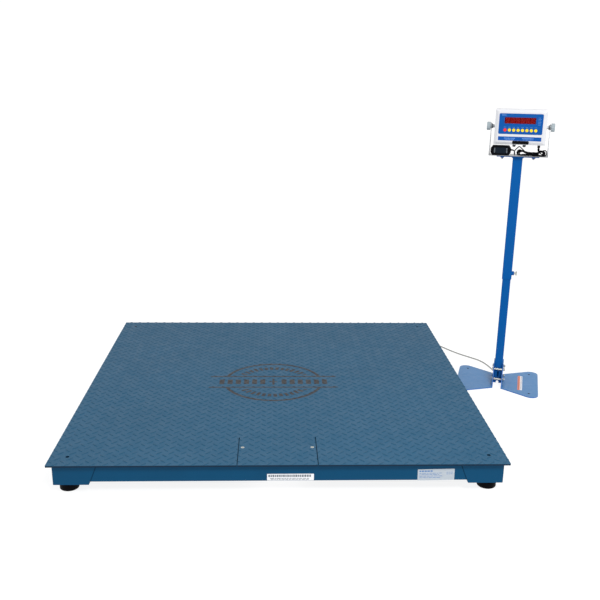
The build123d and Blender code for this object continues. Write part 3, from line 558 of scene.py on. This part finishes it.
def spline_curve(name, points, steps):
    """One open NURBS spline with these points as its control points."""
    curve = bpy.data.curves.new(name, "CURVE")
    curve.dimensions = "3D"
    curve.resolution_u = steps
    spline = curve.splines.new("NURBS")
    spline.points.add(len(points) - 1)
    for target, point in zip(spline.points, points):
        target.co = (*point, 1)
    spline.order_u = 3
    spline.use_endpoint_u = True
    item = bpy.data.objects.new(name, curve)
    bpy.context.scene.collection.objects.link(item)
    return item


def read_line(item):
    """The points of a curve that has no thickness yet."""
    mesh = bpy.data.meshes.new_from_object(item)
    line = [vertex.co.copy() for vertex in mesh.vertices]
    bpy.data.meshes.remove(mesh)
    return line


def sweep(bm, line, radii, sides):
    """Tube along a line, with a radius at each point, closed at both ends."""
    turns = [2 * math.pi * k / sides for k in range(sides)]
    rings = []
    side = None
    for i, point in enumerate(line):
        ahead = line[min(i + 1, len(line) - 1)] - line[max(i - 1, 0)]
        ahead.normalize()
        if side is None:
            side = ahead.orthogonal().normalized()
        side = (side - ahead * side.dot(ahead)).normalized()
        other = ahead.cross(side)
        outward = [side * math.cos(turn) + other * math.sin(turn) for turn in turns]
        rings.append([bm.verts.new(point + radii[i] * way) for way in outward])
    close_rings(bm, rings)


RIB_STEPS, RIB_RAISED, RIB_DIP = 6, 4, 0.86


def sleeve(name, line, length, radii, ribs, body, look):
    """Ribbed, tapering strain relief over the first stretch of a cord."""
    steps = ribs * RIB_STEPS
    path, sizes = [], []
    travelled = [0.0]
    for a, b in zip(line, line[1:]):
        travelled.append(travelled[-1] + (b - a).length)
    for step in range(steps + 1):
        want = length * step / steps
        i = max(k for k in range(len(travelled)) if travelled[k] <= want + 1e-9)
        i = min(i, len(line) - 2)
        share = (want - travelled[i]) / (travelled[i + 1] - travelled[i])
        path.append(line[i].lerp(line[i + 1], share))
        taper = radii[0] + (radii[1] - radii[0]) * step / steps
        sizes.append(taper * (1.0 if step % RIB_STEPS < RIB_RAISED else RIB_DIP))
    bm = bmesh.new()
    sweep(bm, path, sizes, 20)
    return piece(name, from_bmesh(name, bm), body, look)


SIGNAL_RADIUS, SIGNAL_START = 0.003, (560, 768, 60)
signal_points = [
    on_deck(*point)
    for point in (
        SIGNAL_START,
        (560, 796, 58),
        (565, 826, 44),
        (580, 853, 23),
        (606, 872, 8),
        (644, 881, 3.3),
        (690, 875, 3.2),
        (735, 850, 3.3),
        (773, 809, 3.2),
        (806, 758, 3.3),
        (834, 707, 3.2),
        (864, 654, 3.3),
        (894, 607, 3.2),
        (936, 557, 3.3),
        (978, 511, 3.2),
        (998, 461, 3.3),
        (1008, 407, 3.2),
        (1015, 352, 3.3),
        (1016, 304, 3.9),
        (1003.4, 263.5, 5.5),
    )
]
signal_cord = spline_curve("signal_cord", signal_points, 10)
signal_line = read_line(signal_cord)
signal_cord.data.bevel_depth = SIGNAL_RADIUS
signal_cord.data.bevel_resolution = 5
signal_cord.data.use_fill_caps = True
signal_cord.data.materials.append(LOOKS["cable_grey"].material)
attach(signal_cord, "platform")
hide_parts("signal_cable")
gland_relief = sleeve(
    "gland_relief", signal_line, 0.026, (0.0062, 0.0040), 6, "platform", LOOKS["plastic_black"]
)

# the adapter's lead: plug, back of the bundle, five turns, front of the bundle,
# a peak, and the adapter
CORD_RADIUS, HANK_BACK, HANK_FLOOR = 0.002, -18.8, 1017.0
plug_points = [
    (80, 20, 1040.5),
    (80, 20, 1032),
    (84, 20, 1024.5),
    (93, 18, 1019),
    (102.5, 12.5, 1016.4),
    (108, 4, 1016.2),
    (109, -6, 1016.2),
    (106, -15.5, 1016.6),
    (98, HANK_BACK, 1017.2),
]
adapter_points = [
    (27, -36.5, 1031),
    (20, -35, 1038),
    (11, -33, 1045.5),
    (2, -31.7, 1053.5),
    (-7, -33.2, 1044),
    (-14.5, -35.5, 1036),
    (-16, -37, 1027),
    (-15.3, -35.5, 1019.5),
    (-14.5, -28.5, 1016.8),
    (-14, -21.5, 1019.5),
    (-14, -20, 1027),
    (-17, -21, 1034),
    (-25, -22, 1036),
]
# the turns lie one before the other, a layer apart; each has its own ends and tops, and
# its own lift off the yoke's base, sag in the tie and dip on either side of it
TURNS = 5
LAYER = 4.1
TIE_X, TIE_LOW, TIE_HIGH = 62, 1017.0, 1028.0
right_ends = (104, 98, 113, 101, 107)
left_ends = (1, -6, 4, -3, 2)
right_tops = (1034, 1038, 1040, 1033, 1037)
left_tops = (1036, 1039, 1032, 1038, 1034)
lift = (0, 3.5, 8.0, 1.5, 6.0)
sag = (0, 3.0, 1.2, 4.0, 2.0)
dip = (0, 8.0, 3.0, 10.0, 5.0)
hank_points = []
for turn in range(TURNS):
    y = HANK_BACK - turn * LAYER
    right, left, rise = right_ends[turn], left_ends[turn], lift[turn]
    top_left, top_right = left_tops[turn], right_tops[turn]
    if turn:
        hank_points.append((right_ends[turn - 1] - 9, y, HANK_FLOOR))
    hank_points += [
        (82, y + 0.2, 1016.8 + rise * 0.5),
        (TIE_X, y, TIE_LOW + rise * 0.45),
        (40, y - 0.2, 1016.6 + rise * 0.6),
        (left + 14, y, 1016.6 + rise * 0.5),
        (left + 4, y, 1017.8),
        (left, y, 1025.5),
        (left + 3, y, top_left - 3),
        (left + 13, y, top_left),
        (left + 27, y - 0.1, top_left - 5 + rise * 0.6 - dip[turn] * 0.6),
        (44, y, 1026.5 + rise * 0.5 - dip[turn] * 0.5),
        (TIE_X, y + 0.1, TIE_HIGH - sag[turn]),
        (80, y - 0.1, 1027.0 + rise * 0.5 - dip[turn] * 0.4),
        (right - 20, y, top_right - 4 - dip[turn] * 0.3),
        (right - 9, y, top_right),
        (right - 1, y - 0.8, top_right - 5),
        (right, y - LAYER / 2, 1025.5),
        (right - 2, y - LAYER + 0.6, 1018.8),
    ]
front_y = HANK_BACK - TURNS * LAYER
hank_points += [
    (94, front_y, HANK_FLOOR),
    (78, front_y, 1018),
    (TIE_X, front_y, TIE_LOW + 0.4),
    (48, front_y, 1019.5),
    (36, front_y, 1025),
]
lead_points = [on_stand(*point) for point in plug_points + hank_points + adapter_points]
lead_curve = spline_curve("lead_curve", lead_points, 6)
lead_line = read_line(lead_curve)
bm = bmesh.new()
sweep(bm, lead_line, [CORD_RADIUS] * len(lead_line), 10)
adapter_cord = piece(
    "adapter_cord",
    from_bmesh("adapter_cord", bm),
    None,
    LOOKS["plastic_black"],
    smooth=True,
)
bpy.data.objects.remove(lead_curve)
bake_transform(adapter_cord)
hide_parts("power_cord", "cord_hank")
plug_relief = sleeve(
    "plug_relief", lead_line, 0.012, (0.0052, 0.0034), 4, "indicator", LOOKS["plastic_black"]
)
adapter_relief = sleeve(
    "adapter_relief",
    list(reversed(lead_line)),
    0.011,
    (0.0030, 0.0022),
    4,
    "mast",
    LOOKS["plastic_black"],
)

# the tie, a closed band about the turns
TIE_HALF, TIE_THICK, TIE_ROOM, TIE_CORNER = 2.2, 0.7, (5, 4.4), 3.6
tie_y, tie_z = HANK_BACK - TURNS * LAYER / 2, (TIE_LOW + TIE_HIGH) / 2
tie_deep, tie_tall = TURNS * LAYER + TIE_ROOM[0], TIE_HIGH - TIE_LOW + TIE_ROOM[1]
tie_line = [
    on_stand(TIE_X, tie_y + u, tie_z + v)
    for u, v in rounded(tie_deep, tie_tall, TIE_CORNER, 6)
]
tie_middle = on_stand(TIE_X, tie_y, tie_z)
count = len(tie_line)
bm = bmesh.new()
for aside in (-TIE_HALF, TIE_HALF):
    for grow in (0.0, TIE_THICK):
        for point in tie_line:
            outward = (point - tie_middle).normalized()
            bm.verts.new(point + outward * grow * MM + RIGHT * aside * MM)
bm.verts.ensure_lookup_table()
v = bm.verts
for i in range(count):
    j = (i + 1) % count
    for a, b in ((0, 1), (1, 3), (3, 2), (2, 0)):
        bm.faces.new(
            (v[a * count + i], v[a * count + j], v[b * count + j], v[b * count + i])
        )
hank_tie = piece("hank_tie", from_bmesh("hank_tie", bm), "mast", EXTRA["badge_black"])

# ---- tread plate ---------------------------------------------------------------

# a lug's size and its rings, each a share of its outline and a height; the tread's
# repeat and its shift; the clear space about a hole; how far a lug reaches from its middle
LUG_LONG, LUG_WIDE, LUG_TALL, LUG_SIDES = 28.0, 8.0, 1.5, 12
LUG_RINGS = ((1.03, -0.12), (0.82, 0.85), (0.55, LUG_TALL))
WEAVE_WIDE, WEAVE_DEEP = 41.0, 39.9
WEAVE_X, WEAVE_Y = 4.5, 5.2
HOLE_CLEAR, REACH = 15, 12.8
DECK_HALF = (deck_high.x - deck_low.x) / 2 / MM
cover_low, cover_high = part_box("access_cover")
NOTCH = (
    (cover_low.x - deck_mid.x) / MM,
    (cover_high.x - deck_mid.x) / MM,
    (cover_high.y - deck_mid.y) / MM,
)
SEAM, REAR_SEAM = 3.0, 0.6
DECK_TOP = deck_high.z / MM


def lug(bm, x, y, slant):
    """One raised lens-shaped lug, closed, with its foot sunk in the plate."""
    c, s = math.cos(slant), math.sin(slant)
    outline = []
    for k in range(LUG_SIDES):
        turn = 2 * math.pi * (k / LUG_SIDES)
        along, across = math.cos(turn), math.sin(turn)
        narrowed = across * (1 - 0.18 * along * along)
        outline.append((along * LUG_LONG / 2, narrowed * LUG_WIDE / 2))
    rings = []
    for size, height in LUG_RINGS:
        ring = []
        for along, across in outline:
            a = along * (size + (1 - size) * 0.35)
            b = across * size
            spot = on_deck(x + a * c - b * s, y + a * s + b * c, DECK_TOP + height)
            ring.append(bm.verts.new(spot))
        rings.append(ring)
    close_rings(bm, rings)


def cut(bm, x, y, keep):
    """Cut a lug mesh at a line of x or y and cap it; keep says which side stays."""
    if x is not None:
        point, normal = on_deck(x, 0, DECK_TOP), Vector((-keep, 0, 0))
    else:
        point, normal = on_deck(0, y, DECK_TOP), Vector((0, -keep, 0))
    made = bmesh.ops.bisect_plane(
        bm,
        geom=bm.verts[:] + bm.edges[:] + bm.faces[:],
        plane_co=point,
        plane_no=normal,
        clear_outer=True,
    )
    edges = [e for e in made["geom_cut"] if isinstance(e, bmesh.types.BMEdge)]
    bmesh.ops.edgenet_fill(bm, edges=edges)


def lug_grid():
    """Middles and slants of the lugs: those of one slant lie amid those of the other."""
    count = int(DECK_HALF // WEAVE_DEEP) + 1
    for i in range(-count, count + 1):
        for j in range(-count, count + 1):
            for shift, slant in ((0, math.pi / 4), (0.5, -math.pi / 4)):
                x = WEAVE_X + (i + shift) * WEAVE_WIDE
                y = WEAVE_Y + (j + shift) * WEAVE_DEEP
                yield x, y, slant


def tread(name, edges, spots, body):
    """Lugs on the side of every edge that stays, cut where they cross one.
    edges: (x or None, y or None, side that stays, where it holds); spots stay clear."""
    total = bpy.data.meshes.new(name)
    bm = bmesh.new()
    for x, y, slant in lug_grid():
        if any(math.hypot(x - sx, y - sy) < HOLE_CLEAR for sx, sy in spots):
            continue
        crossed = []
        for ex, ey, keep, holds in edges:
            if not holds(x, y):
                continue
            depth = keep * ((x - ex) if ex is not None else (y - ey))
            if depth < -REACH:
                break
            if depth < REACH:
                crossed.append((ex, ey, keep))
        else:
            single = bmesh.new()
            lug(single, x, y, slant)
            for ex, ey, keep in crossed:
                if single.faces:
                    cut(single, ex, ey, keep)
            if single.faces:
                bmesh.ops.recalc_face_normals(single, faces=single.faces)
                single.to_mesh(total)
                bm.from_mesh(total)
            single.free()
    bm.to_mesh(total)
    bm.free()
    return piece(name, total, body, LOOKS["deck_paint"])


FOOT_X, FOOT_Y = 704, 698
SCREW_IN, SCREW_Y = 12.5, -634
HOLES = [(sx * FOOT_X, sy * FOOT_Y) for sx in (-1, 1) for sy in (-1, 1)]
SCREWS = [(NOTCH[0] + SCREW_IN, SCREW_Y), (NOTCH[1] - SCREW_IN, SCREW_Y)]
GAP_LEFT, GAP_RIGHT, GAP_BACK = NOTCH[0] - SEAM, NOTCH[1] + SEAM, NOTCH[2] + REAR_SEAM
COVER_MIDDLE = (NOTCH[0] + NOTCH[1]) / 2


def always(_x, _y):
    return True


def beside_notch(x, y):
    return y < GAP_BACK and not behind_notch(x, y)


def behind_notch(x, y):
    return abs(x - COVER_MIDDLE) < GAP_RIGHT - COVER_MIDDLE + REACH and y > GAP_BACK - REACH


deck_edges = [
    (-DECK_HALF, None, 1, always),
    (DECK_HALF, None, -1, always),
    (None, DECK_HALF, -1, always),
    (None, -DECK_HALF, 1, always),
    (GAP_LEFT, None, -1, lambda x, y: x < COVER_MIDDLE and beside_notch(x, y)),
    (GAP_RIGHT, None, 1, lambda x, y: x >= COVER_MIDDLE and beside_notch(x, y)),
    (None, GAP_BACK, 1, behind_notch),
]
cover_edges = [
    (NOTCH[0], None, 1, always),
    (NOTCH[1], None, -1, always),
    (None, NOTCH[2], -1, always),
    (None, -DECK_HALF, 1, always),
]
tread("deck_tread", deck_edges, HOLES, "platform")
tread("cover_tread", cover_edges, SCREWS, "cover")

# ---- seams and labels on the platform, labels on the stand ---------------------

# a dark strip along each slanted edge of the corner pockets, two to a corner; a pocket is
# POCKET_TOP wide at the height SEAM_TOP, and POCKET_LOW wide SLANT_TALL further down
FRAME_HALF, POCKET_TOP, POCKET_LOW = 746.0, 146.5, 118.5
SEAM_TOP, SLANT_TALL = 106, 72
STRIP_HALF, STRIP_LOW, STRIP_HIGH, STRIP_THICK = 1.4, 46, 105.5, 0.3
strip = [
    (-STRIP_HALF, STRIP_LOW),
    (STRIP_HALF, STRIP_LOW),
    (STRIP_HALF, STRIP_HIGH),
    (-STRIP_HALF, STRIP_HIGH),
]
bm = bmesh.new()
for c, s in ((1, 0), (0, 1), (-1, 0), (0, -1)):
    for side in (-1, 1):

        def seam_place(u, v, w, c=c, s=s, side=side):
            slant = (SEAM_TOP - v) / SLANT_TALL * (POCKET_TOP - POCKET_LOW)
            x, y = side * (FRAME_HALF - POCKET_TOP + slant) + u, -FRAME_HALF - w
            return on_deck(x * c - y * s, x * s + y * c, v)

        slab(bm, strip, seam_place, STRIP_THICK)
piece("pocket_seams", from_bmesh("pocket_seams", bm), "platform", EXTRA["seam_dark"])

NOTICE_X, NOTICE_Z, NOTICE_THICK = 34.5, 59, 0.35
PRINT_THICK = 0.05
label(
    "front_label",
    front_place(NOTICE_X, NOTICE_Z, -FRAME_HALF),
    155,
    24,
    NOTICE_THICK,
    1.2,
    EXTRA["label_white"],
    "platform",
)
marks(
    "front_label_print",
    front_place(NOTICE_X, NOTICE_Z, -FRAME_HALF - NOTICE_THICK),
    row_of_bars(-73, 73, 4.6, 8.6, 4, 7, 2.0)
    + row_of_bars(-68, 68, -4.6, 2.2, 5, 14, 2.0)
    + row_of_bars(-66, 60, -8.6, 1.8, 5, 14, 2.0),
    PRINT_THICK,
    EXTRA["ink_grey"],
    "platform",
)
PLATE_X, PLATE_Z, PLATE_THICK, PLATE_TILT = 518.5, 65.5, 0.5, math.radians(1.0)
label(
    "rating_plate",
    front_place(PLATE_X, PLATE_Z, -FRAME_HALF, PLATE_TILT),
    123,
    41,
    PLATE_THICK,
    1.5,
    EXTRA["plate_grey"],
    "platform",
)
marks(
    "rating_plate_print",
    front_place(PLATE_X, PLATE_Z, -FRAME_HALF - PLATE_THICK, PLATE_TILT),
    row_of_bars(-56, -12, 13.5, 4.5, 5, 9, 2)
    + row_of_bars(-56, 20, 5.5, 1.6, 4, 14, 2.4)
    + row_of_bars(-56, 10, 0.5, 1.6, 4, 14, 2.4)
    + row_of_bars(-56, 26, -5, 1.6, 4, 14, 2.4)
    + row_of_bars(-56, 14, -10.5, 1.6, 4, 14, 2.4)
    + row_of_bars(34, 56, 8, 1.4, 4, 8, 2)
    + row_of_bars(34, 56, 2, 1.4, 4, 8, 2),
    PRINT_THICK,
    EXTRA["ink_blue"],
    "platform",
)
WING_LABEL_X, WING_LABEL_Y, WING_TOP, WING_THICK = 100, -1.5, 4, 0.2
for name, aside, look in (
    ("wing_label_orange", -5, EXTRA["orange"]),
    ("wing_label_white", 5, EXTRA["label_white"]),
):
    place = flat_place(WING_LABEL_X + aside, WING_LABEL_Y, WING_TOP)
    label(name, place, 10, 173, WING_THICK, 0.5, look, "platform")
marks(
    "wing_label_print",
    flat_place(WING_LABEL_X, WING_LABEL_Y, WING_TOP + WING_THICK),
    [(side * 5, -72 + 16 * k, 3.4, 9) for side in (-1, 1) for k in range(10)],
    PRINT_THICK,
    EXTRA["ink_grey"],
    "platform",
)

# ---- indicator front -----------------------------------------------------------

OVERLAY_Y = -40.8
HOUSING_Y = -40.0
TITLE_Z, TITLE_THICK = 1083, 0.3
label(
    "title_strip",
    stand_front(0, TITLE_Z, HOUSING_Y),
    172,
    16,
    TITLE_THICK,
    1.5,
    EXTRA["strip_blue"],
    "indicator",
)
marks(
    "title_strip_print",
    stand_front(0, TITLE_Z, HOUSING_Y - TITLE_THICK),
    row_of_bars(-62, -14, 1.6, 3.6, 3, 6, 1.6)
    + row_of_bars(-58, -20, -3.6, 2.2, 3, 6, 1.6)
    + row_of_bars(10, 58, 1.6, 3.6, 3, 6, 1.6)
    + row_of_bars(14, 52, -3.6, 2.2, 3, 6, 1.6),
    PRINT_THICK,
    EXTRA["ink_pale"],
    "indicator",
)
label(
    "maker_badge",
    stand_front(5, 1068, HOUSING_Y),
    66,
    13,
    0.8,
    4,
    EXTRA["badge_black"],
    "indicator",
)

# print on the key panel: a mark over each key, one in the corner, a column at the side
KEY_COUNT, KEY_PITCH, SIDE_LINES, SIDE_PITCH = 8, 17.4, 6, 5.6
key_bars, side_bars = [], []
for number in range(KEY_COUNT):
    middle = (number - (KEY_COUNT - 1) / 2) * KEY_PITCH
    key_bars += row_of_bars(middle - 5, middle + 5, 0, 1.5, 2.2, 4.5, 1.0)
corner_bars = row_of_bars(-9, 9, 0, 3.2, 3, 5, 1.2)
for number in range(SIDE_LINES):
    side_bars += row_of_bars(-6, 5, 14 - number * SIDE_PITCH, 1.4, 2, 4, 1.0)
for name, x, z, bars in (
    ("key_print", 0, 1128.5, key_bars),
    ("corner_print", -68, 1176.5, corner_bars),
    ("side_print", 74, 1154, side_bars),
):
    place = stand_front(x, z, OVERLAY_Y)
    marks(name, place, bars, PRINT_THICK, EXTRA["ink_pale"], "indicator")

# six digit modules on a dark backing, each with seven strokes and a point
DIGIT_COUNT, DIGIT_PITCH, DIGIT_WIDE, DIGIT_TALL = 6, 19.6, 17.6, 23.0
WINDOW_X, WINDOW_Z = -3.0, 1155.5
BACKING_Y, FACE_Y, FACE_THICK = -35.8, -36.0, 0.5
LEAN, STROKE_SHIFT, STROKE_TIP, STROKE_HALF, STROKE_THICK = 0.12, -0.8, 3.3, 0.95, 0.2
STROKES = (
    (0, 8.4, True),
    (0, 0, True),
    (0, -8.4, True),
    (-4.6, 4.2, False),
    (4.6, 4.2, False),
    (-4.6, -4.2, False),
    (4.6, -4.2, False),
)
level_stroke = [
    (-STROKE_TIP, 0),
    (-STROKE_TIP + STROKE_HALF, -STROKE_HALF),
    (STROKE_TIP - STROKE_HALF, -STROKE_HALF),
    (STROKE_TIP, 0),
    (STROKE_TIP - STROKE_HALF, STROKE_HALF),
    (-STROKE_TIP + STROKE_HALF, STROKE_HALF),
]
upright_stroke = [(b, -a) for a, b in level_stroke]
DOT_X, DOT_Z = 7.4, -8.6
dot = [(math.cos(k * math.pi / 4), math.sin(k * math.pi / 4)) for k in range(8)]
label(
    "digit_backing",
    stand_front(WINDOW_X, WINDOW_Z, BACKING_Y),
    120,
    23.6,
    0.3,
    0,
    EXTRA["badge_black"],
    "indicator",
)
faces, strokes = bmesh.new(), bmesh.new()
for number in range(DIGIT_COUNT):
    x = WINDOW_X + (number - (DIGIT_COUNT - 1) / 2) * DIGIT_PITCH
    face_place = stand_front(x, WINDOW_Z, FACE_Y)
    slab(faces, rounded(DIGIT_WIDE, DIGIT_TALL, 0), face_place, FACE_THICK)
    place = stand_front(x + STROKE_SHIFT, WINDOW_Z, FACE_Y - FACE_THICK)
    for u, v, flat in STROKES:

        def leaning(a, b, w, u=u, v=v, place=place):
            return place(u + a + LEAN * (v + b), v + b, w)

        slab(strokes, level_stroke if flat else upright_stroke, leaning, STROKE_THICK)
    slab(
        strokes,
        dot,
        lambda a, b, w, place=place: place(DOT_X + a, DOT_Z + b, w),
        STROKE_THICK,
    )
piece("digit_faces", from_bmesh("digit_faces", faces), "indicator", EXTRA["module_face"])
piece("digit_segments", from_bmesh("digit_segments", strokes), "indicator", EXTRA["segment"])

adapter_front = stand_front(-71, 1034, -41.4)
label("adapter_label", adapter_front, 40, 23, 0.25, 1.5, EXTRA["adapter_label"], "mast")
end_bars = [(side * 24.5, -7.5 + 5 * step, 5.2, 3.2) for side in (-1, 1) for step in range(4)]
marks("adapter_print", adapter_front, end_bars, 0.2, EXTRA["ink_grey"], "mast")

# ---- floor and light -----------------------------------------------------------

FLOOR_HALF = 300
bm = bmesh.new()
bm.faces.new(
    [bm.verts.new((x * FLOOR_HALF, y * FLOOR_HALF, 0)) for x, y in rounded(2, 2, 0)]
)
floor_look = finish(
    "floor_paint", (0.2, 0.2, 0.2), (0.7, 0.8), 0.005, 2, 60, 0.02, specular=0.05
)
floor_look.shader.inputs["Emission Color"].default_value = (1, 1, 1, 1)
floor_look.shader.inputs["Emission Strength"].default_value = 0.87
floor = piece("floor", from_bmesh("floor", bm), None, floor_look)


def lamp(name, place, aim, size, power):
    """A rectangular lamp that points at aim."""
    light = bpy.data.lights.new(name, "AREA")
    light.shape = "RECTANGLE"
    light.size, light.size_y = size
    light.energy = power
    item = bpy.data.objects.new(name, light)
    bpy.context.scene.collection.objects.link(item)
    item.location = place
    item.rotation_mode = "QUATERNION"
    item.rotation_quaternion = (Vector(aim) - Vector(place)).to_track_quat("-Z", "Y")


lamp("key_lamp", (1.0, -3.2, 3.4), (0, 0, 0.2), (1.4, 1.0), 110)

# the white surroundings are brighter behind the scale than in front of it
world = bpy.data.worlds.new("studio")
world.use_nodes = True
bpy.context.scene.world = world
tree = world.node_tree
background = tree.nodes["Background"]
direction = tree.nodes.new("ShaderNodeTexCoord")
parts = tree.nodes.new("ShaderNodeSeparateXYZ")
ramp = tree.nodes.new("ShaderNodeMapRange")
for key, number in (("From Min", 0.1), ("From Max", 0.8), ("To Min", 0.75), ("To Max", 1.04)):
    ramp.inputs[key].default_value = number
tree.links.new(direction.outputs["Generated"], parts.inputs[0])
tree.links.new(parts.outputs[1], ramp.inputs["Value"])
tree.links.new(ramp.outputs["Result"], background.inputs["Strength"])
background.inputs["Color"].default_value = (1, 1, 1, 1)
bpy.context.scene.view_settings.view_transform = "Standard"
